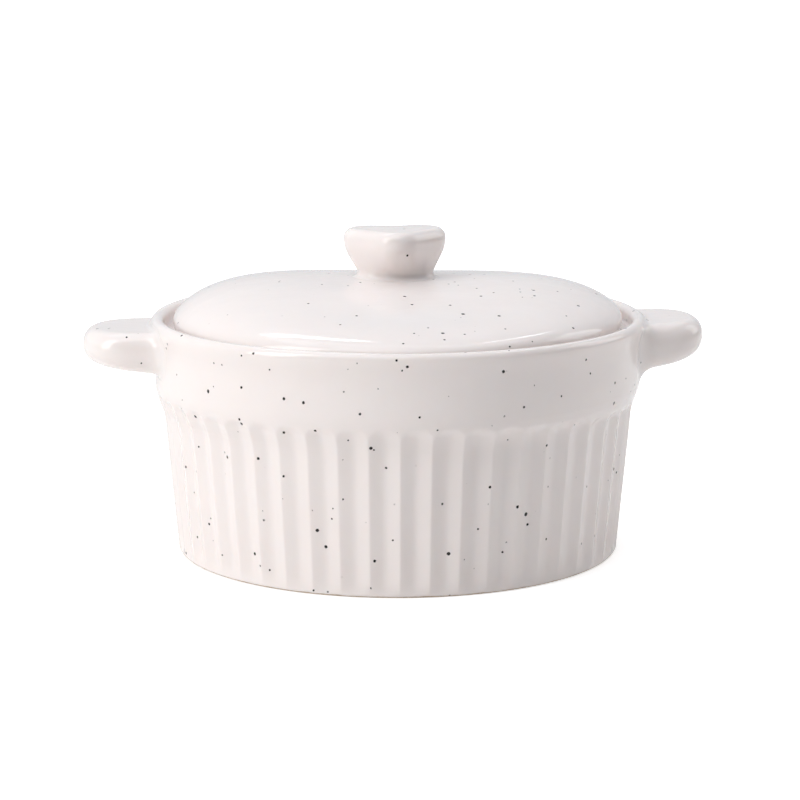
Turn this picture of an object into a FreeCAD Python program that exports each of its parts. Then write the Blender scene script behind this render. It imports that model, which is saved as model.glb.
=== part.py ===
# Covered casserole dish: a fluted stoneware dish with two lugs, and a domed lid with a heart knob.
#
# Millimetres, +Z up.  The origin is the centre of the foot ring, on the surface the dish stands on.
# The lugs lie along X, and the point of the heart faces the front, -Y.
import FreeCAD, Part
import math
import os

import Sketcher

# Driving dimensions: alias, value, meaning.
DIMENSIONS = (
    ("base_radius", 58.3, "outside of the fluted wall, level with the foot"),
    ("base_edge", 1.0, "rounding from the wall to the foot"),
    ("foot_radius", 50.0, "inside of the bare foot ring"),
    ("foot_rise", 1.2, "recess of the base inside the foot ring"),
    ("waist_radius", 61.6, "top of the fluted wall"),
    ("waist_height", 37.6, "where the fluted wall starts to swell out"),
    ("band_radius", 63.9, "smooth band above the flutes"),
    ("band_height", 42.8, "bottom of the smooth band"),
    ("rim_radius", 65.0, "outside of the rim bead"),
    ("rim_height", 62.0, "top of the rim"),
    ("rim_round", 1.8, "half the thickness of the rim, fully rounded"),
    ("bead_swell", 1.2, "height over which the band swells to the bead"),
    ("ledge_height", 57.8, "ledge that carries the lid"),
    ("ledge_radius", 57.0, "inner edge of the ledge"),
    ("ledge_round", 0.8, "rounding of the corners of the ledge"),
    ("cavity_radius", 53.2, "inner wall above the floor corner"),
    ("cavity_corner", 10.0, "radius between the inner wall and the floor"),
    ("floor_height", 6.0, "floor of the dish"),
    ("flute_count", 50.0, "flutes around the wall"),
    ("flute_radius", 6.4, "radius of the hollow of one flute"),
    ("flute_depth", 0.9, "depth of a flute below the wall"),
    ("flute_end", 36.8, "centre of the rounded top end of a flute"),
    ("flute_start", -6.0, "flutes run out below the foot"),
    ("lug_tip", 82.6, "tip of a lug from the centre"),
    ("lug_round", 16.2, "radius of the ear in plan"),
    ("lug_top", 59.0, "upper face of a lug"),
    ("lug_tip_low", 50.6, "lower face of a lug at its tip"),
    ("lug_root_low", 48.2, "lower face of a lug at the wall"),
    ("ear_flare", 4.0, "flare at the sides of a lug where it meets the wall"),
    ("lug_inside", 54.0, "depth from which a lug is shaped before it is fitted to the wall"),
    ("lug_edge", 3.0, "rounding of the edges of a lug"),
    ("lid_radius", 59.2, "widest part of the lid"),
    ("lid_edge_height", 60.6, "height of the widest part, lid on"),
    ("lid_under_edge", 2.6, "rounding below the widest part"),
    ("lid_edge", 6.0, "rounding above the widest part"),
    ("lid_shoulder_turn", 76.0, "angle that the upper edge turns through, degrees"),
    ("lid_top", 71.4, "flat seat of the knob, lid on"),
    ("seat_radius", 12.0, "flat seat of the knob"),
    ("flange_radius", 55.4, "locating flange under the lid"),
    ("flange_depth", 4.0, "flange below the ledge"),
    ("flange_wall", 4.4, "thickness of the flange"),
    ("lid_wall", 5.4, "thickness of the dome"),
    ("roof_radius", 47.0, "flat roof inside the lid"),
    ("knob_lobe", 7.3, "radius of a lobe of the heart"),
    ("knob_spread", 6.2, "centre of a lobe from the middle"),
    ("knob_back", 2.6, "centre of the lobes behind the middle"),
    ("knob_notch", 6.0, "radius of the soft notch"),
    ("knob_point", 5.0, "radius of the rounded point"),
    ("knob_front", 6.8, "centre of the point in front of the middle"),
    ("knob_neck", 0.76, "size of the neck against the top"),
    ("knob_waist", 9.2, "height of the widest part above the lid"),
    ("knob_height", 13.3, "height of the knob"),
    ("knob_edge", 2.6, "rounding of the top of the knob"),
)

document = FreeCAD.newDocument("casserole_dish")
sheet = document.addObject("Spreadsheet::Sheet", "dims")
for row, (alias, value, meaning) in enumerate(DIMENSIONS, start=1):
    sheet.set(f"A{row}", alias.replace("_", " "))
    sheet.set(f"B{row}", str(value))
    sheet.set(f"C{row}", meaning)
    sheet.setAlias(f"B{row}", alias)
document.recompute()


def rule_value(rule):
    """The present value of a rule written with the sheet's aliases."""
    return float(sheet.evalExpression(rule))


def origin_part(body, role):
    """One of a body's own origin planes or axes."""
    return next(item for item in body.Origin.OriginFeatures if item.Role == role)


def new_body(label):
    body = document.addObject("PartDesign::Body", label)
    body.Label = label
    return body


def new_sketch(body, name, plane="XZ_Plane", height=None):
    """A sketch on one of the body's origin planes, raised to a height given by a rule."""
    sketch = body.newObject("Sketcher::SketchObject", name)
    sketch.AttachmentSupport = [(origin_part(body, plane), "")]
    sketch.MapMode = "FlatFace"
    if height:
        sketch.setExpression("AttachmentOffset.Base.z", height)
    return sketch


def bind(sketch, kind, places, rule):
    """A measured constraint whose value follows a rule."""
    index = sketch.addConstraint(Sketcher.Constraint(kind, *places, rule_value(rule)))
    sketch.setExpression(f"Constraints[{index}]", rule)


def pin(sketch, geometry, point, across, up):
    """Fix one point of a sketch by its two rules; "0" puts it on the axis."""
    for kind, rule, axis in (("DistanceX", across, -2), ("DistanceY", up, -1)):
        if rule == "0":
            sketch.addConstraint(Sketcher.Constraint("PointOnObject", geometry, point, axis))
        else:
            bind(sketch, kind, (-1, 1, geometry, point), rule)


def arc_between(start, end, radius, turn):
    """Minor arc from start to end; turn is +1 counter-clockwise, -1 clockwise."""
    chord = end - start
    half = chord.Length / 2
    normal = FreeCAD.Vector(-chord.y, chord.x, 0).normalize() * turn
    centre = start + chord / 2 + normal * math.sqrt(max(radius**2 - half**2, 0))
    first, last = (start, end) if turn > 0 else (end, start)
    angles = [math.atan2(p.y - centre.y, p.x - centre.x) for p in (first, last)]
    circle = Part.Circle(centre, FreeCAD.Vector(0, 0, 1), radius)
    return Part.ArcOfCircle(circle, angles[0], angles[1])


def closed_outline(sketch, corners):
    """A closed outline.  A corner is (across, up) or (across, up, radius rule, turn) when an arc,
    and not a line, leads on to the next corner."""
    spots = [FreeCAD.Vector(rule_value(c[0]), rule_value(c[1]), 0) for c in corners]
    starts = []
    ends = []
    for index, corner in enumerate(corners):
        start = spots[index]
        end = spots[(index + 1) % len(spots)]
        if len(corner) == 2:
            geometry = sketch.addGeometry(Part.LineSegment(start, end), False)
            starts.append((geometry, 1))
            ends.append((geometry, 2))
        else:
            radius, turn = corner[2:]
            geometry = sketch.addGeometry(arc_between(start, end, rule_value(radius), turn), False)
            starts.append((geometry, 1 if turn > 0 else 2))
            ends.append((geometry, 2 if turn > 0 else 1))
    for index, start in enumerate(starts):
        sketch.addConstraint(Sketcher.Constraint("Coincident", *ends[index - 1], *start))
        pin(sketch, *start, *corners[index][:2])
        if len(corners[index]) > 2:
            bind(sketch, "Radius", (start[0],), corners[index][2])
    return starts


def revolve(body, name, corners):
    """A solid turned about Z from an outline of radii and heights."""
    sketch = new_sketch(body, name + "_profile")
    closed_outline(sketch, corners)
    turned = body.newObject("PartDesign::Revolution", name)
    turned.Profile = sketch
    turned.ReferenceAxis = (origin_part(body, "Z_Axis"), [""])
    turned.Angle = 360
    body.Tip = turned
    document.recompute()
    return turned


def swell_radius(inner, outer, low, high):
    """Radius of the two equal arcs of an S-shaped step that starts and ends upright."""
    return f"(({outer} - {inner})^2 + ({high} - {low})^2) / 4 / ({outer} - {inner})"


def dish_outline():
    """Half section of the dish, from the centre of the base round to the centre of the floor."""
    step = swell_radius("dims.waist_radius", "dims.band_radius", "dims.waist_height", "dims.band_height")
    bead_low = "dims.rim_height - dims.rim_round - dims.bead_swell"
    bead_high = "dims.rim_height - dims.rim_round"
    bead = swell_radius("dims.band_radius", "dims.rim_radius", "0", "dims.bead_swell")
    rim_middle = "dims.rim_radius - dims.rim_round"
    recess = "dims.rim_radius - 2 * dims.rim_round"
    return (
        ("0", "dims.foot_rise"),
        ("dims.foot_radius - dims.foot_rise", "dims.foot_rise"),
        ("dims.foot_radius", "0"),
        ("dims.base_radius - dims.base_edge", "0", "dims.base_edge", 1),
        ("dims.base_radius", "dims.base_edge"),
        ("dims.waist_radius", "dims.waist_height", step, -1),
        ("(dims.waist_radius + dims.band_radius) / 2", "(dims.waist_height + dims.band_height) / 2", step, 1),
        ("dims.band_radius", "dims.band_height"),
        ("dims.band_radius", bead_low, bead, -1),
        ("(dims.band_radius + dims.rim_radius) / 2", f"{bead_high} - dims.bead_swell / 2", bead, 1),
        ("dims.rim_radius", bead_high, "dims.rim_round", 1),
        (rim_middle, "dims.rim_height", "dims.rim_round", 1),
        (recess, bead_high),
        (recess, "dims.ledge_height + dims.ledge_round", "dims.ledge_round", -1),
        (f"{recess} - dims.ledge_round", "dims.ledge_height"),
        ("dims.ledge_radius + dims.ledge_round", "dims.ledge_height", "dims.ledge_round", 1),
        ("dims.ledge_radius", "dims.ledge_height - dims.ledge_round"),
        ("dims.cavity_radius", "dims.floor_height + dims.cavity_corner", "dims.cavity_corner", -1),
        ("dims.cavity_radius - dims.cavity_corner", "dims.floor_height"),
        ("0", "dims.floor_height"),
    )


def cut_flutes(body):
    """One round-ended hollow cut along the slope of the wall, repeated all round the dish."""
    slope = "(dims.waist_radius - dims.base_radius) / (dims.waist_height - dims.base_edge)"
    lean = f"sqrt(1 + ({slope})^2)"
    offset = f"dims.waist_radius + (dims.flute_radius - dims.flute_depth) * {lean}"
    low = f"{offset} + (dims.flute_start - dims.waist_height) * {slope}"
    high = f"{offset} + (dims.flute_end - dims.waist_height) * {slope}"
    # Across and along the slope, for the corners of the half section of the cutter.
    out = f"dims.flute_radius / {lean}"
    down = f"dims.flute_radius * {slope} / {lean}"
    sketch = new_sketch(body, "flute_section", "YZ_Plane")
    tip_across = f"{high} + {down}"
    tip_up = f"dims.flute_end + {out}"
    closed_outline(sketch, (
        (low, "dims.flute_start"),
        (tip_across, tip_up, "dims.flute_radius", 1),
        (f"{high} - {out}", f"dims.flute_end + {down}"),
        (f"{low} - {out}", f"dims.flute_start + {down}"),
    ))
    axis = sketch.addGeometry(Part.LineSegment(
        FreeCAD.Vector(rule_value(low), rule_value("dims.flute_start"), 0),
        FreeCAD.Vector(rule_value(tip_across), rule_value(tip_up), 0)), True)
    sketch.addConstraint(Sketcher.Constraint("Coincident", axis, 1, 0, 1))
    sketch.addConstraint(Sketcher.Constraint("Coincident", axis, 2, 0, 2))
    flute = body.newObject("PartDesign::Groove", "flute")
    flute.Profile = sketch
    flute.ReferenceAxis = (sketch, ["Axis0"])
    flute.Angle = 360
    body.Tip = flute
    document.recompute()
    flutes = body.newObject("PartDesign::PolarPattern", "flutes")
    flutes.Originals = [flute]
    flutes.Axis = (origin_part(body, "Z_Axis"), [""])
    flutes.Angle = 360
    flutes.setExpression("Occurrences", "dims.flute_count")
    body.Tip = flutes
    document.recompute()


def make_dish_body():
    body = new_body("dish_body")
    revolve(body, "pot", dish_outline())
    smooth = body.Shape.Volume
    cut_flutes(body)
    print("flutes take away", round(smooth - body.Shape.Volume), "mm3")
    return body


def lid_outline():
    """Half section of the lid, from the seat of the knob down over the edge and back inside."""
    turn = "dims.lid_shoulder_turn"
    shoulder_across = f"dims.lid_radius - dims.lid_edge * (1 - cos({turn}))"
    shoulder_up = f"dims.lid_edge_height + dims.lid_edge * sin({turn})"
    # The crown meets the flat seat and the shoulder; its radius follows from its run and its fall.
    run = f"({shoulder_across} - dims.seat_radius)"
    fall = f"(dims.lid_top - ({shoulder_up}))"
    crown = f"({run}^2 + {fall}^2) / 2 / {fall}"
    under_low = "dims.lid_edge_height - dims.lid_under_edge"
    flange_low = "dims.ledge_height - dims.flange_depth"
    flange_inside = "dims.flange_radius - dims.flange_wall"
    roof = "dims.lid_top - dims.lid_wall"
    return (
        ("0", roof),
        ("dims.roof_radius", roof),
        (flange_inside, "dims.ledge_height"),
        (flange_inside, flange_low + " + dims.ledge_round", "dims.ledge_round", 1),
        (flange_inside + " + dims.ledge_round", flange_low),
        ("dims.flange_radius - dims.ledge_round", flange_low, "dims.ledge_round", 1),
        ("dims.flange_radius", flange_low + " + dims.ledge_round"),
        ("dims.flange_radius", "dims.ledge_height"),
        ("dims.lid_radius - dims.lid_under_edge", "dims.ledge_height"),
        ("dims.lid_radius - dims.lid_under_edge", under_low, "dims.lid_under_edge", 1),
        ("dims.lid_radius", "dims.lid_edge_height", "dims.lid_edge", 1),
        (shoulder_across, shoulder_up, crown, 1),
        ("dims.seat_radius", "dims.lid_top"),
        ("0", "dims.lid_top"),
    )


def make_lid_shell():
    body = new_body("lid_shell")
    revolve(body, "dome", lid_outline())
    return body


def heart_outline(sketch, scale):
    """A soft heart: two lobes with a notch behind, straight flanks and a rounded point in front."""
    lobe = f"dims.knob_lobe * {scale}"
    spread = f"dims.knob_spread * {scale}"
    back = f"dims.knob_back * {scale}"
    notch = f"dims.knob_notch * {scale}"
    point = f"dims.knob_point * {scale}"
    front = f"dims.knob_front * {scale}"
    lobe_size, across, behind, notch_size, point_size, ahead = map(
        rule_value, (lobe, spread, back, notch, point, front))
    notch_up = behind + math.sqrt((lobe_size + notch_size)**2 - across**2)
    # Direction from the middle of the point to that of the right lobe, and the tangent flank.
    reach = math.hypot(across, behind + ahead)
    flank = math.atan2(behind + ahead, across) - math.acos((lobe_size - point_size) / reach)
    notch_turn = math.atan2(notch_up - behind, across)
    up = FreeCAD.Vector(0, 0, 1)

    def arc(centre, radius, first, last):
        return sketch.addGeometry(Part.ArcOfCircle(Part.Circle(centre, up, radius), first, last), False)

    right = arc(FreeCAD.Vector(across, behind, 0), lobe_size, flank, math.pi - notch_turn)
    dip = arc(FreeCAD.Vector(0, notch_up, 0), notch_size, -math.pi + notch_turn, -notch_turn)
    left = arc(FreeCAD.Vector(-across, behind, 0), lobe_size, notch_turn, math.pi - flank)
    tip = arc(FreeCAD.Vector(0, -ahead, 0), point_size, math.pi - flank, 2 * math.pi + flank)
    ends = [FreeCAD.Vector(side * (across + lobe_size * math.cos(flank)),
                           behind + lobe_size * math.sin(flank), 0) for side in (-1, 1)]
    feet = [FreeCAD.Vector(side * point_size * math.cos(flank),
                           -ahead + point_size * math.sin(flank), 0) for side in (-1, 1)]
    left_flank = sketch.addGeometry(Part.LineSegment(ends[0], feet[0]), False)
    right_flank = sketch.addGeometry(Part.LineSegment(feet[1], ends[1]), False)
    for first, second in (((right, 2), (dip, 2)), ((dip, 1), (left, 1)), ((left, 2), (left_flank, 1)),
                          ((left_flank, 2), (tip, 1)), ((tip, 2), (right_flank, 1)),
                          ((right_flank, 2), (right, 1))):
        sketch.addConstraint(Sketcher.Constraint("Tangent", *first, *second))
    pin(sketch, right, 3, spread, back)
    pin(sketch, left, 3, "-" + spread, back)
    sketch.addConstraint(Sketcher.Constraint("PointOnObject", tip, 3, -2))
    bind(sketch, "DistanceY", (-1, 1, tip, 3), "-" + front)
    for geometry, rule in ((right, lobe), (left, lobe), (dip, notch), (tip, point)):
        bind(sketch, "Radius", (geometry,), rule)


def edges_at(shape, height, tolerance=0.01):
    """Names of the edges that lie level at one height."""
    names = []
    for index, edge in enumerate(shape.Edges, start=1):
        box = edge.BoundBox
        if abs(box.ZMin - height) < tolerance and abs(box.ZMax - height) < tolerance:
            names.append(f"Edge{index}")
    return names


def make_lid_knob():
    body = new_body("lid_knob")
    neck = new_sketch(body, "neck_section", "XY_Plane", "dims.lid_top")
    heart_outline(neck, "dims.knob_neck")
    widest = new_sketch(body, "widest_section", "XY_Plane", "dims.lid_top + dims.knob_waist")
    heart_outline(widest, "1")
    document.recompute()
    stem = body.newObject("PartDesign::AdditiveLoft", "stem")
    stem.Profile = neck
    stem.Sections = [widest]
    stem.Ruled = True
    body.Tip = stem
    document.recompute()
    head_section = new_sketch(body, "head_section", "XY_Plane", "dims.lid_top + dims.knob_waist")
    heart_outline(head_section, "1")
    document.recompute()
    head = body.newObject("PartDesign::Pad", "head")
    head.Profile = head_section
    head.setExpression("Length", "dims.knob_height - dims.knob_waist")
    body.Tip = head
    document.recompute()
    rounding = body.newObject("PartDesign::Fillet", "top_rounding")
    top = rule_value("dims.lid_top + dims.knob_height")
    rounding.Base = (head, edges_at(head.Shape, top))
    rounding.setExpression("Radius", "dims.knob_edge")
    body.Tip = rounding
    document.recompute()
    return body


def underside_wedge():
    """Side view of what is cut from below a lug, so that it thins towards the tip."""
    past_tip = "dims.lug_tip + dims.lug_edge"
    return (
        ("dims.lug_inside", "dims.lug_root_low"),
        (past_tip, "dims.lug_root_low"),
        (past_tip, "dims.lug_tip_low"),
    )


def ear_outline():
    """Plan of a lug on the +X side: a round ear that flares out where it reaches the wall."""
    middle = "dims.lug_tip - dims.lug_round"
    outer = "dims.lug_round + dims.ear_flare"
    return (
        ("dims.lug_inside", f"-({outer})"),
        (f"{middle} - dims.ear_flare", f"-({outer})", "dims.ear_flare", -1),
        (middle, "-dims.lug_round", "dims.lug_round", 1),
        ("dims.lug_tip", "0", "dims.lug_round", 1),
        (middle, "dims.lug_round", "dims.ear_flare", -1),
        (f"{middle} - dims.ear_flare", outer),
        ("dims.lug_inside", outer),
    )


def cut_through(body, name, sketch):
    """A cut right through the body, both ways from the sketch."""
    pocket = body.newObject("PartDesign::Pocket", name)
    pocket.Profile = sketch
    pocket.Type = "ThroughAll"
    pocket.SideType = "Symmetric"
    body.Tip = pocket
    document.recompute()
    return pocket


def make_lug(label, turn):
    """One ear-shaped lug; its inner face is the round of the band that it is joined to."""
    body = new_body(label)
    plan = new_sketch(body, "plan", "XY_Plane", "dims.lug_root_low")
    closed_outline(plan, ear_outline())
    ear = body.newObject("PartDesign::Pad", "ear")
    ear.Profile = plan
    ear.setExpression("Length", "dims.lug_top - dims.lug_root_low")
    body.Tip = ear
    document.recompute()
    side_view = new_sketch(body, "side_view")
    closed_outline(side_view, underside_wedge())
    thinned = cut_through(body, "underside", side_view)

    rounding = body.newObject("PartDesign::Fillet", "edge_rounding")
    rounding.Base = (thinned, ear_edges(thinned.Shape))
    rounding.setExpression("Radius", "dims.lug_edge")
    body.Tip = rounding
    document.recompute()

    wall = new_sketch(body, "wall_round", "XY_Plane")
    circle = wall.addGeometry(Part.Circle(FreeCAD.Vector(), FreeCAD.Vector(0, 0, 1),
                                          rule_value("dims.band_radius")), False)
    wall.addConstraint(Sketcher.Constraint("Coincident", circle, 3, -1, 1))
    bind(wall, "Radius", (circle,), "dims.band_radius")
    cut_through(body, "wall_fit", wall)
    body.Placement = FreeCAD.Placement(FreeCAD.Vector(), FreeCAD.Rotation(FreeCAD.Vector(0, 0, 1), turn))
    return body


def ear_edges(shape):
    """The edges between the upper or lower face of the ear and its upright side.
    All others are upright or run straight across the ear."""
    names = []
    for index, edge in enumerate(shape.Edges, start=1):
        box = edge.BoundBox
        if box.XLength > 0.01:
            names.append(f"Edge{index}")
    return names


dish_body = make_dish_body()
lid_shell = make_lid_shell()
lid_knob = make_lid_knob()
right_handle = make_lug("right_handle", 0)
left_handle = make_lug("left_handle", 180)

SUBPARTS = [dish_body, left_handle, right_handle, lid_shell, lid_knob]
for item in document.Objects:
    if "Invalid" in item.State or "Error" in item.State:
        raise RuntimeError(f"{item.Label} failed: {item.State}")
os.makedirs("parts", exist_ok=True)
for subpart in SUBPARTS:
    shape = subpart.Shape
    if shape.isNull() or not shape.isValid():
        raise RuntimeError(f"{subpart.Label} has no valid shape")
    print(subpart.Label, len(shape.Solids), "solid", round(shape.Volume), "mm3", shape.BoundBox)
    shape.exportStep(f"parts/{subpart.Label}.step")
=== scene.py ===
"""Looks of the covered casserole dish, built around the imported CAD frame.

Shapes are worked out in millimetres in the CAD frame (+Z up, origin at the centre of the foot ring,
handles along X, point of the heart towards -Y) and become metres when a mesh is made.
"""
import math

import bpy
import numpy as np
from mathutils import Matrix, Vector


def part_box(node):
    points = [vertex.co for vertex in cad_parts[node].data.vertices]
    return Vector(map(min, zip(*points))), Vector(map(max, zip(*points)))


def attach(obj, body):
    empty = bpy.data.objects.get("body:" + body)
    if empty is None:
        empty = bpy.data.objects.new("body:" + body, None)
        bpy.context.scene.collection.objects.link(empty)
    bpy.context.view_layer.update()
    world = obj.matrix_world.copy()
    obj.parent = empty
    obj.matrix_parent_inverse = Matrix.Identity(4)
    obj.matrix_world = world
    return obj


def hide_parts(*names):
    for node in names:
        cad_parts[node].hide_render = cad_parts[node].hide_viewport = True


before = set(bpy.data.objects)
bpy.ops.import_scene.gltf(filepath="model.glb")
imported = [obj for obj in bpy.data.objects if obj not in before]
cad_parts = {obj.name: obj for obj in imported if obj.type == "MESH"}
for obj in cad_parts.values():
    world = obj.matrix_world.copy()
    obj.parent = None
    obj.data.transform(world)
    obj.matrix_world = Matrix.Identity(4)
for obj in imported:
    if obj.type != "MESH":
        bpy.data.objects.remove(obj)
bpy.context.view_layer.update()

MM = 0.001
TURN = 2 * math.pi

# Room left inside the CAD's box for the unevenness of the clay.
SIDE_ROOM = 0.15
RIM_ROOM = 0.1
KNOB_ROOM = 0.05

# Sizes read from the frame.
dish_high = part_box("dish_body")[1] / MM
lid_low, lid_high = (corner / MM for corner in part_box("lid_shell"))
knob_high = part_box("lid_knob")[1] / MM
lug_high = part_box("right_handle")[1] / MM
RIM_RADIUS = dish_high.x - SIDE_ROOM
RIM_HEIGHT = dish_high.z - RIM_ROOM
LUG_TIP = lug_high.x - SIDE_ROOM

# The dish, from the foot up.
BASE_RADIUS = 58.3
BASE_EDGE = 1.0
BASE_INSET = 0.1
FOOT_RADIUS = 50.0
FOOT_RISE = 1.2
FOOT_ROUND = 0.4
WAIST_RADIUS = 61.6
WAIST_HEIGHT = 37.6
BAND_RADIUS = 63.9
BAND_HEIGHT = 42.8
STEP_ROUND = 14.0
RIM_ROUND = 1.75
RIM_EASE = 0.02
BEAD_SWELL = 5.0
BEAD_DROP = 0.7
BEAD_LOW_ROUND = 16.0
BEAD_HIGH_ROUND = 6.0
LEDGE_HEIGHT = 57.8
LEDGE_RADIUS = 57.0
LEDGE_ROUND = 0.8
CAVITY_RADIUS = 53.2
CAVITY_CORNER = 10.0
FLOOR_HEIGHT = 6.0
FLOOR_MIDDLE = 6.0
DISH_STEP = 1.6

# The step below the band leans, and runs higher towards the right lug.
STEP_LEAN = 0.45
STEP_RISE = 1.3
STEP_FULL = 1.2
STEP_FADE = 9.0

FLUTES = 50
FLUTE_SAMPLES = 14
FLUTE_CROWDING = 1.45
FLUTE_DEPTH = 1.05
FLUTE_SHAPE = 1.55
FLUTE_HALF = 3.5
FLUTE_TOP = 43.4
FLUTE_TOP_DROP = 2.4
FLUTE_TOP_FADE = 2.3
FLUTE_TOP_CORNER = 1.2
FLUTE_TOP_SQUARE = 4.5
FLUTE_FOOT = 0.6
FLUTE_FOOT_FADE = 2.8
FLUTED_HEIGHT = 52.0
RIDGE_SOFT = 0.85

# Rings are this far apart, from below to above the tops of the flutes.
FINE_STEP = 0.4
FINE_BELOW = 6.5
FINE_ABOVE = 0.4

# Unevenness of the clay: lengths of the waves, and their push as a share of the length.
HAND_SEED = 41
HAND_WAVE_COUNT = 26
HAND_WAVE_LENGTHS = (14, 90)
HAND_PUSH = 0.00042
HAND_FOOT = 4.0


# ---------------------------------------------------------------- shapes

def smoothstep(x):
    x = np.clip(x, 0, 1)
    return x * x * (3 - 2 * x)


def hand_waves():
    """Waves in space, each with a direction, a length, a phase and a push."""
    rng = np.random.default_rng(HAND_SEED)
    waves = []
    for _ in range(HAND_WAVE_COUNT):
        direction = rng.normal(size=3)
        direction /= np.linalg.norm(direction)
        length = rng.uniform(*HAND_WAVE_LENGTHS)
        push = rng.normal(size=3)
        push *= HAND_PUSH * length / np.linalg.norm(push)
        waves.append((direction, length, rng.uniform(0, TURN), push))
    return waves


HAND_WAVES = hand_waves()


def handmade(points):
    """Gentle unevenness of hand-finished clay: one smooth field in space that moves every piece.

    The foot stays flat."""
    spots = np.asarray(points, float)
    moved = spots.copy()
    for direction, length, phase, push in HAND_WAVES:
        moved += np.sin(spots @ (direction * TURN / length) + phase)[:, None] * push
    lift = smoothstep(spots[:, 2] / HAND_FOOT)
    moved[:, 2] = spots[:, 2] + (moved[:, 2] - spots[:, 2]) * lift
    return moved


def rounded_corner(before, corner, after, rounding, arc_step=math.radians(9)):
    """Points on the arc that rounds a corner between its two neighbours."""
    back = before - corner
    ahead = after - corner
    back /= np.linalg.norm(back)
    ahead /= np.linalg.norm(ahead)
    half = math.acos(np.clip(back @ ahead, -1, 1)) / 2
    middle = back + ahead
    middle /= np.linalg.norm(middle)
    centre = corner + middle * rounding / math.sin(half)
    start = corner + back * rounding / math.tan(half) - centre
    end = corner + ahead * rounding / math.tan(half) - centre
    sweep = math.pi - 2 * half
    count = max(2, math.ceil(sweep / arc_step))
    arc = []
    for k in range(count + 1):
        from_start = start * math.sin(sweep * (1 - k / count))
        from_end = end * math.sin(sweep * k / count)
        arc.append(centre + (from_start + from_end) / math.sin(sweep))
    return arc


def rounded_path(corners, step):
    """Points (radius, height) along straight runs between rounded corners.

    Every corner but the first and the last also gives its rounding."""
    spots = [np.array(corner[:2], float) for corner in corners]
    path = [spots[0]]
    for index in range(1, len(spots)):
        arc = [spots[index]]
        if index < len(spots) - 1:
            arc = rounded_corner(*spots[index - 1:index + 2], corners[index][2])
        run = arc[0] - path[-1]
        count = max(1, round(float(np.linalg.norm(run)) / step))
        path += [path[-1] + run * k / count for k in range(1, count)]
        path += arc
    return np.array(path)


def around(radius, height, angles):
    radius = np.broadcast_to(radius, angles.shape)
    height = np.broadcast_to(height, angles.shape)
    return np.stack([radius * np.cos(angles), radius * np.sin(angles), height], 1)


def add(name, data):
    """A new object in the scene."""
    item = bpy.data.objects.new(name, data)
    bpy.context.scene.collection.objects.link(item)
    return item


def ensure_outward(mesh):
    """Turn the faces of a closed mesh outwards."""
    mesh.calc_loop_triangles()
    corners = np.empty(len(mesh.loop_triangles) * 3, np.int32)
    mesh.loop_triangles.foreach_get("vertices", corners)
    spots = np.empty(len(mesh.vertices) * 3, np.float32)
    mesh.vertices.foreach_get("co", spots)
    first, second, third = spots.reshape(-1, 3)[corners].reshape(-1, 3, 3).transpose(1, 0, 2)
    if np.einsum("ij,ij->i", first, np.cross(second, third)).sum() < 0:
        mesh.flip_normals()


class Skin:
    """A mesh grown ring by ring."""

    def __init__(self):
        self.points = []
        self.faces = []
        self.count = 0
        self.last = None

    def ring(self, points):
        """Add a ring and join it to the one before."""
        ring = np.arange(self.count, self.count + len(points))
        self.points.append(np.asarray(points, float))
        self.count += len(points)
        if self.last is not None:
            self.join(self.last, ring)
        self.last = ring

    def join(self, old, new):
        """Faces between two rings, of which one may have twice as many points as the other."""
        size = min(len(old), len(new))
        for k in range(size):
            n = (k + 1) % size
            if len(old) == len(new):
                self.faces.append((old[k], old[n], new[n], new[k]))
            elif len(old) > len(new):
                a, b, c = old[2 * k], old[2 * k + 1], old[2 * n]
                self.faces += [(a, b, new[k]), (b, new[n], new[k]), (b, c, new[n])]
            else:
                a, b, c = new[2 * k], new[2 * k + 1], new[2 * n]
                self.faces += [(a, old[k], b), (b, old[k], old[n]), (b, old[n], c)]

    def shift(self, move):
        """Move all the points so far."""
        self.points = [points + move for points in self.points]

    def close(self, centre, ring=None):
        """Close a ring, or the last one, with a fan to one point."""
        ring = self.last if ring is None else ring
        tip = self.count
        self.points.append(np.array([centre], float))
        self.count += 1
        for k in range(len(ring)):
            self.faces.append((ring[k], ring[(k + 1) % len(ring)], tip))

    def piece(self, name, body, node):
        """The finished piece, which rides on its body and stands for its CAD node."""
        points = handmade(np.concatenate(self.points)) * MM
        faces = [tuple(int(index) for index in face) for face in self.faces]
        mesh = bpy.data.meshes.new(name)
        mesh.from_pydata(points.tolist(), [], faces)
        mesh.validate()
        mesh.update()
        ensure_outward(mesh)
        mesh.polygons.foreach_set("use_smooth", [True] * len(mesh.polygons))
        item = add(name, mesh)
        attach(item, body)
        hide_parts(node)
        return item


# ---------------------------------------------------------------- dish

def outer_path():
    """Profile from the foot up the outside, over the rim and down to the floor of the dish."""
    recess = RIM_RADIUS - 2 * RIM_ROUND
    lip_round = RIM_ROUND - RIM_EASE
    return rounded_path((
        (FOOT_RADIUS - FOOT_RISE, FOOT_RISE),
        (FOOT_RADIUS, 0.0, FOOT_ROUND),
        (BASE_RADIUS - BASE_INSET, 0.0, BASE_EDGE),
        (WAIST_RADIUS, WAIST_HEIGHT, STEP_ROUND),
        (BAND_RADIUS, BAND_HEIGHT, STEP_ROUND),
        (BAND_RADIUS, RIM_HEIGHT - RIM_ROUND - BEAD_SWELL, BEAD_LOW_ROUND),
        (RIM_RADIUS, RIM_HEIGHT - RIM_ROUND - BEAD_DROP, BEAD_HIGH_ROUND),
        (RIM_RADIUS, RIM_HEIGHT, lip_round),
        (recess, RIM_HEIGHT, lip_round),
        (recess, LEDGE_HEIGHT, LEDGE_ROUND),
        (LEDGE_RADIUS, LEDGE_HEIGHT, LEDGE_ROUND),
        (CAVITY_RADIUS, FLOOR_HEIGHT, CAVITY_CORNER),
        (FLOOR_MIDDLE, FLOOR_HEIGHT),
    ), DISH_STEP)


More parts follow.
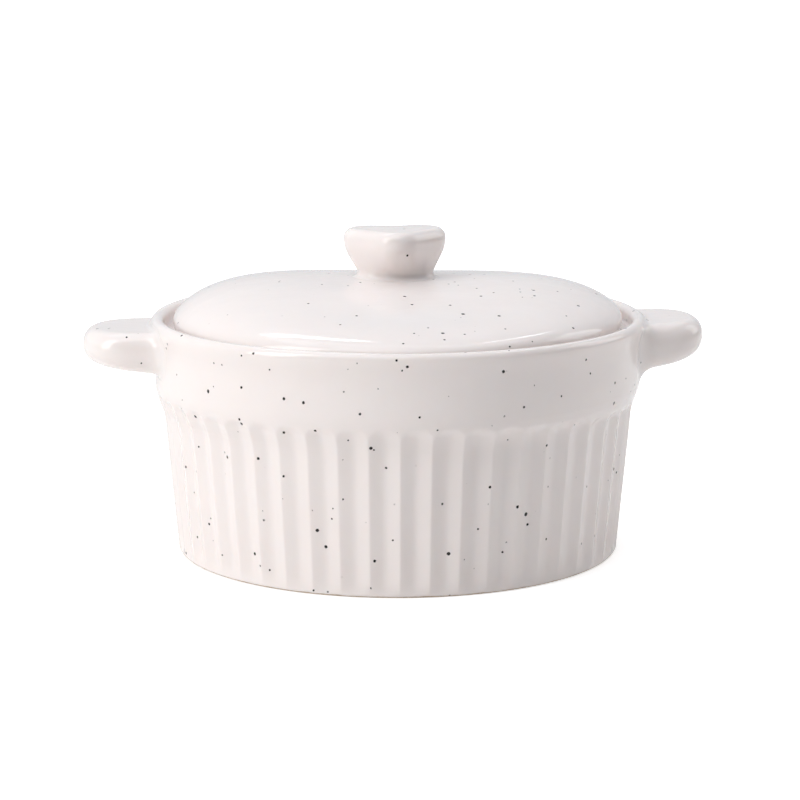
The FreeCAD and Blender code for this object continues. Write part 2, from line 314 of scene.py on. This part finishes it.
def wall_stretch(path):
    """The part of the profile between the foot and the top of the rim."""
    on_wall = (path[:, 0] > BASE_RADIUS - BASE_EDGE) & (path[:, 1] > 0)
    low = int(np.argmax(on_wall))
    high = int(np.argmax(path[:, 1]))
    return path[low:high + 1]


WALL_PATH = wall_stretch(outer_path())


def wall_radius(height):
    """Outer radius of the smooth dish at a height, from the foot to the top of the rim."""
    return np.interp(height, WALL_PATH[:, 1], WALL_PATH[:, 0])


def step_lift(height, angles):
    """How far the lean of the step lifts the wall at a height, which fades away from the step."""
    lift = STEP_LEAN * np.cos(angles) + STEP_RISE * np.maximum(np.cos(angles), 0) ** 2
    return lift * smoothstep(STEP_FULL - abs(height - BAND_HEIGHT) / STEP_FADE)


def flute_angles():
    """Angles around the dish: closer together on the ridges than in the hollows."""
    half = np.linspace(-1, 1, FLUTE_SAMPLES, endpoint=False)
    uneven = np.sign(half) * (1 - (1 - np.abs(half)) ** FLUTE_CROWDING)
    pitch = TURN / FLUTES
    flutes = -TURN / 4 + pitch * np.arange(FLUTES)
    return (flutes[:, None] + uneven[None, :] * pitch / 2).ravel()


def hollow_depth(share):
    """Depth at a share of the half width of a flute: never negative, and rounded where it ends."""
    depth = FLUTE_DEPTH * (1 - share ** FLUTE_SHAPE)
    return (depth + np.sqrt(depth ** 2 + RIDGE_SOFT ** 2)) / 2


def flute_cut(height, angles):
    """How deep the flutes cut into the wall at a height, all round."""
    pitch = TURN / FLUTES
    across = ((angles + TURN / 4 + pitch / 2) % pitch - pitch / 2) * WAIST_RADIUS
    share = np.abs(across) / FLUTE_HALF
    ridge = hollow_depth(pitch * WAIST_RADIUS / 2 / FLUTE_HALF)
    drop = FLUTE_TOP_DROP * np.maximum(np.cos(angles), 0) ** 2
    top = FLUTE_TOP - drop - FLUTE_TOP_CORNER * share ** FLUTE_TOP_SQUARE
    end = smoothstep((top - height) / FLUTE_TOP_FADE)
    foot = smoothstep((height - FLUTE_FOOT) / FLUTE_FOOT_FADE)
    return (hollow_depth(share) - ridge) * end * foot


def with_fine_flute_tops(path):
    """The profile with extra points where the flutes end, on the outside of the wall."""
    fine = [path[0]]
    for before, after in zip(path[:-1], path[1:]):
        near_top = FLUTE_TOP - FINE_BELOW < after[1] and before[1] < FLUTE_TOP + FINE_ABOVE
        pieces = 1
        if near_top and after[1] > before[1]:
            pieces = math.ceil(np.linalg.norm(after - before) / FINE_STEP)
        fine += [before + (after - before) * k / pieces for k in range(1, pieces + 1)]
    return np.array(fine)


def make_dish():
    """The dish, ring by ring.

    The fluted stretch has twice as many points in a ring, and a plain ring where it starts and ends."""
    path = with_fine_flute_tops(outer_path())
    fine = flute_angles()
    coarse = fine[::2]
    crest = int(np.argmax(path[:, 0]))
    skin = Skin()
    skin.ring(around(*path[0], coarse))
    skin.close((0, 0, FOOT_RISE), skin.last[::-1])
    fluted = False
    for index, (radius, height) in enumerate(path[1:], start=1):
        was_fluted = fluted
        on_wall = index <= crest and radius > BASE_RADIUS - 2 * BASE_EDGE
        fluted = on_wall and height < FLUTED_HEIGHT
        angles = fine if fluted else coarse
        if fluted != was_fluted:
            skin.ring(around(radius, height, angles))
            continue
        lifted = height + step_lift(height, angles)
        cut = flute_cut(lifted, angles) if fluted else 0
        skin.ring(around(radius - cut, lifted, angles))
    skin.close((0, 0, FLOOR_HEIGHT))
    return skin.piece("dish", "dish", "dish_body")


# ---------------------------------------------------------------- lugs

LUG_WIDTH = 16.2
LUG_PLAN = 2.5
LUG_EDGE = 4.2
LUG_EDGE_SHAPE = 2.3
LUG_ROOT = -0.3
LUG_HIDDEN = 2.0
LUG_FLARE = 3.6
LUG_TOP_FLARE = 1.4
LUG_SKIRT = 5.0
LUG_TOP_SKIRT = 1.0
LUG_STRAIGHTEN = 9.0
LUG_LOOPS = 30
LUG_ACROSS = 41
# Name, CAD node, side, tip, heights of the lower and upper face at the wall and at the tip,
# fillet of the lower face.
LUGS = (
    ("left_lug", "left_handle", -1, LUG_TIP, (48.7, 59.5), (51.1, 59.4), 1.4),
    ("right_lug", "right_handle", 1, LUG_TIP - 1.9, (48.1, 60.2), (51.6, 60.8), 3.0),
)


def flare(size, distance, skirt=LUG_SKIRT):
    """Concave fillet of a size against the wall.  Under the wall it goes on as a shallow skirt."""
    if distance < LUG_ROOT:
        return 0.0
    if distance <= 0:
        return size - skirt * distance
    across = max(size - distance, 0.0)
    return size - math.sqrt(size ** 2 - across ** 2)


def lug_distances(reach):
    """Distances of the loops from the wall: two inside it, then closer together at the tip."""
    turns = np.linspace(0, math.pi / 2, LUG_LOOPS)
    return np.concatenate([
        [4 * LUG_ROOT, LUG_ROOT],
        LUG_FLARE * (1 - np.cos(turns[::3])),
        LUG_FLARE + (reach - LUG_FLARE) * np.sin(turns)[1:-1],
    ])


def lug_wall(y, z, facing):
    """Distance of the wall from the middle of the dish, measured along the lug.

    The height on the plain wall, before the lean of the step, is found in two rounds."""
    unlifted = z - step_lift(z - step_lift(z, facing), facing)
    return np.sqrt(wall_radius(unlifted) ** 2 - y ** 2)


def make_lug(name, node, side, tip, root, end, low_flare):
    """An ear-shaped lug, grown in loops from inside the wall out to its tip.

    Each loop runs across the upper face and back across the lower face, up to their round edge."""
    reach = tip - BAND_RADIUS
    facing = 0.0 if side > 0 else math.pi
    distances = lug_distances(reach)
    across = np.sin(np.linspace(-math.pi / 2, math.pi / 2, LUG_ACROSS))
    middle = reach - LUG_WIDTH
    skin = Skin()
    for distance in distances:
        past = max(distance - middle, 0.0) / LUG_WIDTH
        full = LUG_WIDTH + flare(LUG_FLARE, distance)
        width = full * max(1 - past ** LUG_PLAN, 0.0) ** (1 / LUG_PLAN)
        y = width * across
        inside = 1 - (past ** LUG_PLAN + (np.abs(y) / full) ** LUG_PLAN) ** (1 / LUG_PLAN)
        share = np.clip(inside * LUG_WIDTH / LUG_EDGE, 0, 1)
        swell = (1 - (1 - share) ** LUG_EDGE_SHAPE) ** (1 / LUG_EDGE_SHAPE)
        along = max(distance, 0.0) / reach
        low, top = (at_wall + (at_tip - at_wall) * along for at_wall, at_tip in zip(root, end))
        centre = (top + low) / 2
        upper = centre + (top - centre + flare(LUG_TOP_FLARE, distance, LUG_TOP_SKIRT)) * swell
        lower = centre - (centre - low + flare(low_flare, distance)) * swell
        y = np.concatenate([y, y[-2:0:-1]])
        z = np.concatenate([upper, lower[-2:0:-1]])
        flat = smoothstep(distance / LUG_STRAIGHTEN)
        x = distance + lug_wall(y, z, facing) * (1 - flat) + BAND_RADIUS * flat
        skin.ring(np.stack([side * x, side * y, z], 1))
        if distance == distances[0]:
            first = skin.last
            hidden = (side * (BAND_RADIUS - LUG_HIDDEN), 0, centre)
    skin.close((side * tip, 0, sum(end) / 2))
    skin.close(hidden, first[::-1])
    return skin.piece(name, "dish", node)


# ---------------------------------------------------------------- lid

LID_RADIUS = 58.7
LID_EDGE_HEIGHT = 61.4
LID_UNDER_ROUND = 3.0
LID_SEAT_GAP = 0.05
LID_WALL = 5.4
LID_SHIFT = (-0.2, -1.5, 0.0)
FLANGE_RADIUS = 55.4
FLANGE_WALL = 4.4
FLANGE_ROOT_ROUND = 0.4
FLANGE_INSIDE_ROUND = 2.0
ROOF_RADIUS = 47.0
ROOF_ROUND = 6.0
ROOF_MIDDLE = 4.0

# The upper face: a superellipse shoulder, a crown, and a swell towards the lugs.
SHOULDER = 8.2
SHOULDER_PLAN = 2.86
SHOULDER_SIDE = 2.07
CROWN = 2.14
SPREAD = 6.0
SPREAD_FADE = 2.5
LEAN = -0.9
LEAN_FADE = 4
EDGE_TILT = (0.35, 0.5)
EDGE_FADE = 4
FULL_FRONT = 0.7

LID_SAMPLES = 400
LID_TURNS = np.linspace(0.06, math.pi / 2, 64)
LID_CROWDING = 0.9
LID_STEP = 2.5


def edge_lift(angles):
    """The edge dips towards the front and the left."""
    return EDGE_TILT[0] * np.cos(angles) + EDGE_TILT[1] * np.sin(angles)


def lid_top(share, angles):
    """Height of the upper face of the lid at a share of its radius."""
    shoulder = np.maximum(1 - share ** SHOULDER_PLAN, 0.0) ** (1 / SHOULDER_SIDE)
    dome = LID_EDGE_HEIGHT + SHOULDER * shoulder
    crown = CROWN * (1 - share ** 2)
    spread = SPREAD * share ** 2 * (1 - share ** SPREAD_FADE) * np.cos(2 * angles)
    lean = LEAN * share * (1 - share ** LEAN_FADE) * np.cos(angles)
    return dome + crown + spread + lean + share ** EDGE_FADE * edge_lift(angles)


def lid_reach(radius, angles):
    """Radius of the lid, which is a little fuller at the front."""
    front = np.maximum(-np.sin(angles), 0) ** 2
    return radius + FULL_FRONT * (radius / LID_RADIUS) ** EDGE_FADE * front


def lid_under_path(seat):
    """Profile from the edge of the lid down to its seat, round the flange and up to the roof."""
    flange_inside = FLANGE_RADIUS - FLANGE_WALL
    roof = lid_high.z - LID_WALL
    return rounded_path((
        (LID_RADIUS, LID_EDGE_HEIGHT),
        (LID_RADIUS, seat, LID_UNDER_ROUND),
        (FLANGE_RADIUS, seat, FLANGE_ROOT_ROUND),
        (FLANGE_RADIUS, lid_low.z, LEDGE_ROUND),
        (flange_inside, lid_low.z, LEDGE_ROUND),
        (flange_inside, LEDGE_HEIGHT, FLANGE_INSIDE_ROUND),
        (ROOF_RADIUS, roof, ROOF_ROUND),
        (ROOF_MIDDLE, roof),
    ), LID_STEP)


def make_lid():
    angles = np.linspace(0, TURN, LID_SAMPLES, endpoint=False)
    skin = Skin()
    for turn in LID_TURNS:
        share = math.sin(turn) ** LID_CROWDING
        skin.ring(around(lid_reach(LID_RADIUS * share, angles), lid_top(share, angles), angles))
        if turn == LID_TURNS[0]:
            first = skin.last
    skin.close((0, 0, float(lid_top(0.0, 0.0))), first[::-1])
    seat = LEDGE_HEIGHT + LID_SEAT_GAP
    under = lid_under_path(seat)
    for radius, height in under[1:]:
        outside = smoothstep((radius - FLANGE_RADIUS) / (LID_RADIUS - FLANGE_RADIUS))
        lift = edge_lift(angles) * outside * smoothstep((height - seat) / LID_UNDER_ROUND)
        reach = radius + (lid_reach(LID_RADIUS, angles) - LID_RADIUS) * outside
        skin.ring(around(reach, height + lift, angles))
    skin.close((0, 0, under[-1, 1]))
    skin.shift(LID_SHIFT)
    return skin.piece("lid", "lid", "lid_shell")


# ---------------------------------------------------------------- knob

KNOB_LOBE, KNOB_SPREAD, KNOB_BACK = 7.3, 6.35, 2.8
KNOB_NOTCH, KNOB_POINT, KNOB_FRONT = 6.0, 6.4, 5.6
KNOB_SAMPLES = 180
KNOB_SMOOTHING = 30
KNOB_SHIFT = -0.5
NECK_WIDTH = 10.0
NECK_DEPTH = 6.9
NECK_SHARE = 0.16
KNOB_BURIED = 1.6
KNOB_BURIED_WIDER = 0.8
KNOB_SEAM = 0.08
KNOB_FLARE = 1.5
KNOB_SETTLE = 3.0
KNOB_WIDEST = 0.74
KNOB_SIDE = 1.12
KNOB_ROUND = 2.6
KNOB_CROWN = 0.15
KNOB_CROWN_SHAPE = 2.4
KNOB_FACE_SHARES = (0.93, 0.82, 0.66, 0.46, 0.22)
FLARE_RINGS = 9
SIDE_RINGS = 16
EDGE_RINGS = 10


def arc(centre, radius, first, last, count=40):
    angles = np.linspace(first, last, count)
    return centre + radius * np.stack([np.cos(angles), np.sin(angles)], 1)


def heart():
    """A soft heart, counter-clockwise from the front point: point, flank, lobe, notch and back."""
    lobe = np.array([KNOB_SPREAD, KNOB_BACK])
    point = np.array([0.0, -KNOB_FRONT])
    notch_rise = math.sqrt((KNOB_LOBE + KNOB_NOTCH) ** 2 - KNOB_SPREAD ** 2)
    notch = np.array([0.0, KNOB_BACK + notch_rise])
    lean = math.atan2(lobe[1] - point[1], lobe[0])
    flank = lean - math.acos((KNOB_LOBE - KNOB_POINT) / math.dist(lobe, point))
    turn = math.atan2(notch_rise, KNOB_SPREAD)
    right = np.concatenate([
        arc(point, KNOB_POINT, -math.pi / 2, flank),
        arc(lobe, KNOB_LOBE, flank, math.pi - turn),
        arc(notch, KNOB_NOTCH, -turn, -math.pi / 2),
    ])
    left = right[::-1] * [-1, 1]
    closed = np.concatenate([right, left[1:-1], right[:1]])
    steps = np.linalg.norm(np.diff(closed, axis=0), axis=1)
    length = np.concatenate([[0], np.cumsum(steps)])
    even = np.linspace(0, length[-1], KNOB_SAMPLES, endpoint=False)
    outline = np.stack([np.interp(even, length, closed[:, k]) for k in (0, 1)], 1)
    for _ in range(KNOB_SMOOTHING):
        outline = (np.roll(outline, 1, 0) + 2 * outline + np.roll(outline, -1, 0)) / 4
    return outline


def oval_neck(angles):
    reach = 1 / np.hypot(np.cos(angles) / NECK_WIDTH, np.sin(angles) / NECK_DEPTH)
    return np.stack([reach * np.cos(angles), reach * np.sin(angles)], 1)


def outward(outline):
    """Unit normals of an outline that runs counter-clockwise."""
    along = np.roll(outline, -1, 0) - np.roll(outline, 1, 0)
    normal = np.stack([along[:, 1], -along[:, 0]], 1)
    return normal / np.linalg.norm(normal, axis=1, keepdims=True)


def on_lid(outline, rise):
    """Heights of an outline that follows the lid at a rise above it."""
    x = outline[:, 0] + KNOB_SHIFT
    y = outline[:, 1]
    return lid_top(np.hypot(x, y) / LID_RADIUS, np.arctan2(y, x)) + rise


def make_knob():
    """The knob, whose section goes from an oval neck to the heart.

    It has a soft upper edge and a slightly full top."""
    head = heart()
    neck = oval_neck(np.arctan2(head[:, 1], head[:, 0]))
    seat = float(lid_top(NECK_SHARE, 0.0))
    height = knob_high.z - KNOB_ROOM - seat
    skin = Skin()

    def section(share, offset=0.0):
        outline = neck + (head - neck) * share
        return outline + outward(outline) * offset

    def level(outline, heights):
        heights = np.broadcast_to(heights, len(outline))
        skin.ring(np.column_stack([outline[:, 0] + KNOB_SHIFT, outline[:, 1], heights]))

    buried = section(0.0, KNOB_FLARE + KNOB_BURIED_WIDER)
    level(buried, on_lid(buried, -KNOB_BURIED))
    skin.close((KNOB_SHIFT, 0, seat - KNOB_BURIED), skin.last[::-1])
    level(buried, on_lid(buried, -KNOB_SEAM))
    for turn in np.linspace(0, math.pi / 2, FLARE_RINGS):
        outline = section(0.0, KNOB_FLARE * (1 - math.sin(turn)))
        level(outline, on_lid(outline, KNOB_FLARE * (1 - math.cos(turn))))

    widest = KNOB_WIDEST * height
    for rise in np.linspace(KNOB_FLARE, widest, SIDE_RINGS)[1:]:
        climbed = (rise - KNOB_FLARE) / (widest - KNOB_FLARE)
        outline = section(math.sin(math.pi / 2 * climbed ** KNOB_SIDE))
        settled = smoothstep((rise - KNOB_FLARE) / KNOB_SETTLE)
        level(outline, on_lid(outline, rise) * (1 - settled) + (seat + rise) * settled)

    shoulder = seat + height - KNOB_ROUND - KNOB_CROWN
    for turn in np.linspace(0, math.pi / 2, EDGE_RINGS):
        outline = section(1.0, -KNOB_ROUND * (1 - math.cos(turn)))
        level(outline, shoulder + KNOB_ROUND * math.sin(turn))
    face = section(1.0, -KNOB_ROUND)
    for share in KNOB_FACE_SHARES:
        level(face * share, seat + height - KNOB_CROWN * share ** KNOB_CROWN_SHAPE)
    skin.close((KNOB_SHIFT, 0, seat + height))
    skin.shift(LID_SHIFT)
    return skin.piece("knob", "lid", "lid_knob")


# ---------------------------------------------------------------- glaze

WHITE_DEEP = (0.903, 0.830, 0.806, 1)
WHITE_THIN = (0.928, 0.863, 0.842, 1)
SPECK_GREY = (0.33, 0.29, 0.27, 1)
SPECK_BLACK = (0.018, 0.014, 0.013, 1)
CLAY = (0.52, 0.41, 0.31, 1)
MOTTLE_SCALE = 70
# Cell, share of the cells with a speck, smallest and largest radius, soft edge.
# Lengths are in millimetres.
FINE_SPECKS = (3.6, 0.52, 0.32, 0.54, 0.10)
BOLD_SPECKS = (6.5, 0.40, 0.40, 0.66, 0.12)
FAINT_SPECKS = (4.6, 0.30, 0.20, 0.55, 0.5)
FAINT_STRENGTH = 0.35
SPECK_RARITY = 2.2
SPECK_WOBBLE = 0.00022
SPECK_WOBBLE_SCALE = 2600
BARE_HEIGHT = 0.0002
BARE_RAGGED = 0.0006
BARE_RAGGED_SCALE = 300
BARE_FADE = 0.00015
ROUGH_LEAST = 0.06
ROUGH_SPREAD = 0.05
ROUGH_CLAY = 0.8
GLAZE_IOR = 1.5
SCATTER = 0.2
SCATTER_RADIUS = (1.0, 0.75, 0.6)
SCATTER_SCALE = 0.0025
BUMP_STRENGTH = 0.12
BUMP_HEIGHT = 0.0004
BUMP_SCALE = 160


class Glaze:
    """The nodes of one material, with shorthand for the kinds it uses."""

    def __init__(self, name):
        self.material = bpy.data.materials.new(name)
        self.material.use_nodes = True
        self.nodes = self.material.node_tree.nodes
        self.links = self.material.node_tree.links
        self.shader = self.nodes["Principled BSDF"]
        self.place = self.nodes.new("ShaderNodeTexCoord").outputs["Object"]

    def feed(self, socket, value):
        """Give a socket a plain value or link an output to it."""
        if isinstance(value, bpy.types.NodeSocket):
            self.links.new(value, socket)
        else:
            socket.default_value = value

    def math(self, operation, *values, clamp=False):
        node = self.nodes.new("ShaderNodeMath")
        node.operation = operation
        node.use_clamp = clamp
        for socket, value in zip(node.inputs, values):
            self.feed(socket, value)
        return node.outputs[0]

    def noise(self, scale, detail, output="Fac"):
        node = self.nodes.new("ShaderNodeTexNoise")
        node.inputs["Scale"].default_value = scale
        node.inputs["Detail"].default_value = detail
        self.links.new(self.place, node.inputs["Vector"])
        return node.outputs[output]

    def mix(self, share, low, high):
        node = self.nodes.new("ShaderNodeMix")
        node.data_type = "RGBA"
        self.feed(node.inputs["Factor"], share)
        self.feed(node.inputs["A"], low)
        self.feed(node.inputs["B"], high)
        return node.outputs["Result"]

    def wobbled_place(self):
        """The place on the object, shaken a little so that specks aren't quite round."""
        shaken = self.nodes.new("ShaderNodeVectorMath")
        shaken.operation = "MULTIPLY_ADD"
        self.feed(shaken.inputs[0], self.noise(SPECK_WOBBLE_SCALE, 1.0, "Color"))
        self.feed(shaken.inputs[1], (SPECK_WOBBLE, SPECK_WOBBLE, SPECK_WOBBLE))
        self.feed(shaken.inputs[2], self.place)
        return shaken.outputs["Vector"]

    def specks(self, cell, share, smallest, largest, edge):
        """Mask of specks, one in a share of the cells; cell, radii and soft edge in millimetres."""
        cells = self.nodes.new("ShaderNodeTexVoronoi")
        cells.inputs["Scale"].default_value = 1 / (cell * MM)
        self.links.new(self.wobbled_place(), cells.inputs["Vector"])
        draws = self.nodes.new("ShaderNodeSeparateColor")
        self.links.new(cells.outputs["Color"], draws.inputs[0])
        chosen = self.math("LESS_THAN", draws.outputs[0], share)
        size = self.math("POWER", draws.outputs[1], SPECK_RARITY)
        radius = self.math("MULTIPLY_ADD", size, (largest - smallest) / cell, smallest / cell)
        inside = self.math("SUBTRACT", radius, cells.outputs["Distance"])
        soft = self.math("DIVIDE", inside, edge / cell, clamp=True)
        return self.math("MULTIPLY", soft, chosen)

    def bare_foot(self):
        """Mask of the foot, which is wiped bare: the clay shows in a thin line under the wall."""
        split = self.nodes.new("ShaderNodeSeparateXYZ")
        self.links.new(self.place, split.inputs[0])
        ragged = self.noise(BARE_RAGGED_SCALE, 2.0)
        limit = self.math("MULTIPLY_ADD", ragged, BARE_RAGGED, BARE_HEIGHT)
        above = self.math("SUBTRACT", limit, split.outputs["Z"])
        return self.math("DIVIDE", above, BARE_FADE, clamp=True)


def make_glaze():
    glaze = Glaze("speckled_glaze")
    shader = glaze.shader
    black = glaze.math("MAXIMUM", glaze.specks(*FINE_SPECKS), glaze.specks(*BOLD_SPECKS))
    faint = glaze.math("MULTIPLY", glaze.specks(*FAINT_SPECKS), FAINT_STRENGTH)
    mottle = glaze.noise(MOTTLE_SCALE, 3.0)
    bare = glaze.bare_foot()

    white = glaze.mix(mottle, WHITE_DEEP, WHITE_THIN)
    greyed = glaze.mix(faint, white, SPECK_GREY)
    speckled = glaze.mix(black, greyed, SPECK_BLACK)
    glaze.feed(shader.inputs["Base Color"], glaze.mix(bare, speckled, CLAY))

    rough = glaze.math("MULTIPLY_ADD", mottle, ROUGH_SPREAD, ROUGH_LEAST)
    dull = glaze.math("MULTIPLY", bare, ROUGH_CLAY)
    glaze.feed(shader.inputs["Roughness"], glaze.math("MAXIMUM", rough, dull))
    shader.inputs["IOR"].default_value = GLAZE_IOR
    shader.inputs["Subsurface Weight"].default_value = SCATTER
    shader.inputs["Subsurface Radius"].default_value = SCATTER_RADIUS
    shader.inputs["Subsurface Scale"].default_value = SCATTER_SCALE

    bump = glaze.nodes.new("ShaderNodeBump")
    bump.inputs["Strength"].default_value = BUMP_STRENGTH
    bump.inputs["Distance"].default_value = BUMP_HEIGHT
    glaze.feed(bump.inputs["Height"], glaze.noise(BUMP_SCALE, 2.0))
    glaze.feed(shader.inputs["Normal"], bump.outputs["Normal"])
    return glaze.material


# ---------------------------------------------------------------- studio

ROOM_FRONT = 0.12
ROOM_BACK = 0.67
ROOM_BRIGHT_SIDE = (-0.35, 0.9, 0.0)
ROOM_BLEND = (-0.1, 0.6)
ROOM_COLOUR = (0.95, 0.97, 1.0, 1)
FLOOR_COLOUR = (0.76, 0.75, 0.74, 1)
FLOOR_ROUGH = 0.9
FLOOR_GLOW = 0.18
FLOOR_EDGE_GLOW = 0.5
FLOOR_CAMERA_GLOW = 0.40
FLOOR_NEAR = 0.15
FLOOR_RADIUS = 0.60
FLOOR_CORNERS = 96
# Name, turn to the camera's right and rise (degrees), distance, width and height (metres),
# power (watts), colour.
SOFT_BOXES = (
    ("key_box", -60, 29, 1.2, 0.45, 1.25, 8.4, (1.0, 0.99, 0.97)),
    ("top_box", 0, 85, 1.2, 1.40, 1.40, 6.3, (0.90, 0.94, 1.0)),
    ("front_box", -20, 70, 1.2, 0.60, 0.60, 1.5, (0.97, 0.98, 1.0)),
    ("right_box", 112, 25, 1.2, 0.60, 0.80, 3.1, (1.0, 0.98, 0.96)),
    ("left_strip", -155, 55, 1.2, 0.50, 0.08, 0.6, (1.0, 1.0, 1.0)),
    ("right_strip", 148, 54, 1.2, 0.03, 0.35, 0.25, (0.92, 0.96, 1.0)),
)
LIGHT_TARGET = Vector((0, 0, 0.04))
CAMERA_DISTANCE = 0.690
CAMERA_ELEVATION = math.radians(10.8)
CAMERA_TURN = math.radians(-4.3)
CAMERA_AIM = (0.00064, 0.0386)
CAMERA_LENS = 117.2
CAMERA_SENSOR = 36.0
CAMERA_FAR = 50


def studio_point(side, away, height):
    """A place in the studio, turned with the camera: side is to its right, away is from it."""
    cos, sin = math.cos(CAMERA_TURN), math.sin(CAMERA_TURN)
    return Vector((side * cos - away * sin, side * sin + away * cos, height))


def aim(item, place, target):
    item.location = place
    item.rotation_euler = (target - place).to_track_quat("-Z", "Y").to_euler()


def make_camera():
    data = bpy.data.cameras.new("camera")
    data.sensor_width = CAMERA_SENSOR
    data.lens = CAMERA_LENS
    data.clip_end = CAMERA_FAR
    item = add("camera", data)
    side, height = CAMERA_AIM
    back = CAMERA_DISTANCE * math.cos(CAMERA_ELEVATION)
    rise = CAMERA_DISTANCE * math.sin(CAMERA_ELEVATION)
    aim(item, studio_point(side, -back, height + rise), studio_point(side, 0, height))
    bpy.context.scene.camera = item


def make_soft_box(name, turn, rise, distance, width, tall, watts, colour):
    light = bpy.data.lights.new(name, "AREA")
    light.shape = "RECTANGLE"
    light.size = width
    light.size_y = tall
    light.energy = watts
    light.color = colour
    turn, rise = math.radians(turn), math.radians(rise)
    flat = distance * math.cos(rise)
    height = LIGHT_TARGET.z + distance * math.sin(rise)
    place = studio_point(flat * math.sin(turn), -flat * math.cos(turn), height)
    aim(add(name, light), place, LIGHT_TARGET)


def add_ramp(nodes, inputs, outputs):
    """A node that maps one range of values to another."""
    ramp = nodes.new("ShaderNodeMapRange")
    sockets = ("From Min", "From Max", "To Min", "To Max")
    for socket, value in zip(sockets, (*inputs, *outputs)):
        ramp.inputs[socket].default_value = value
    return ramp


def make_world():
    """A room that is brighter behind the dish.  The camera sees it as a white backdrop."""
    world = bpy.data.worlds.new("studio")
    world.use_nodes = True
    nodes, links = world.node_tree.nodes, world.node_tree.links
    background = nodes["Background"]
    background.inputs["Color"].default_value = ROOM_COLOUR
    place = nodes.new("ShaderNodeTexCoord")
    side = nodes.new("ShaderNodeVectorMath")
    side.operation = "DOT_PRODUCT"
    side.inputs[1].default_value = studio_point(*ROOM_BRIGHT_SIDE)
    room = add_ramp(nodes, ROOM_BLEND, (ROOM_FRONT, ROOM_BACK))
    room.interpolation_type = "SMOOTHSTEP"
    path = nodes.new("ShaderNodeLightPath")
    strength = nodes.new("ShaderNodeMath")
    strength.operation = "ADD"
    links.new(place.outputs["Generated"], side.inputs[0])
    links.new(side.outputs["Value"], room.inputs["Value"])
    links.new(path.outputs["Is Camera Ray"], strength.inputs[0])
    links.new(room.outputs["Result"], strength.inputs[1])
    links.new(strength.outputs[0], background.inputs["Strength"])
    bpy.context.scene.world = world
    bpy.context.scene.view_settings.view_transform = "Standard"


def floor_material():
    """White, glowing a little more towards the edge, and more to the camera than to the dish."""
    material = bpy.data.materials.new("white_floor")
    material.use_nodes = True
    nodes, links = material.node_tree.nodes, material.node_tree.links
    shader = nodes["Principled BSDF"]
    shader.inputs["Base Color"].default_value = FLOOR_COLOUR
    shader.inputs["Roughness"].default_value = FLOOR_ROUGH
    shader.inputs["Specular IOR Level"].default_value = 0.0
    shader.inputs["Emission Color"].default_value = (1, 1, 1, 1)
    place = nodes.new("ShaderNodeTexCoord")
    length = nodes.new("ShaderNodeVectorMath")
    length.operation = "LENGTH"
    glow = add_ramp(nodes, (FLOOR_NEAR, FLOOR_RADIUS), (FLOOR_GLOW, FLOOR_EDGE_GLOW))
    path = nodes.new("ShaderNodeLightPath")
    lift = nodes.new("ShaderNodeMath")
    lift.operation = "MULTIPLY_ADD"
    lift.inputs[1].default_value = FLOOR_CAMERA_GLOW
    links.new(place.outputs["Object"], length.inputs[0])
    links.new(length.outputs["Value"], glow.inputs["Value"])
    links.new(path.outputs["Is Camera Ray"], lift.inputs[0])
    links.new(glow.outputs["Result"], lift.inputs[2])
    links.new(lift.outputs[0], shader.inputs["Emission Strength"])
    return material


def make_floor():
    """A round white sheet that runs into the white backdrop."""
    angles = np.linspace(0, TURN, FLOOR_CORNERS, endpoint=False)
    mesh = bpy.data.meshes.new("floor")
    mesh.from_pydata(around(FLOOR_RADIUS, 0.0, angles).tolist(), [], [tuple(range(FLOOR_CORNERS))])
    mesh.materials.append(floor_material())
    add("floor", mesh)


make_camera()
pieces = [make_dish(), *(make_lug(*lug) for lug in LUGS), make_lid(), make_knob()]
glazed = make_glaze()
for piece in pieces:
    piece.data.materials.append(glazed)
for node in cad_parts.values():
    node.data.materials.clear()
    node.data.materials.append(glazed)
make_world()
make_floor()
for box in SOFT_BOXES:
    make_soft_box(*box)
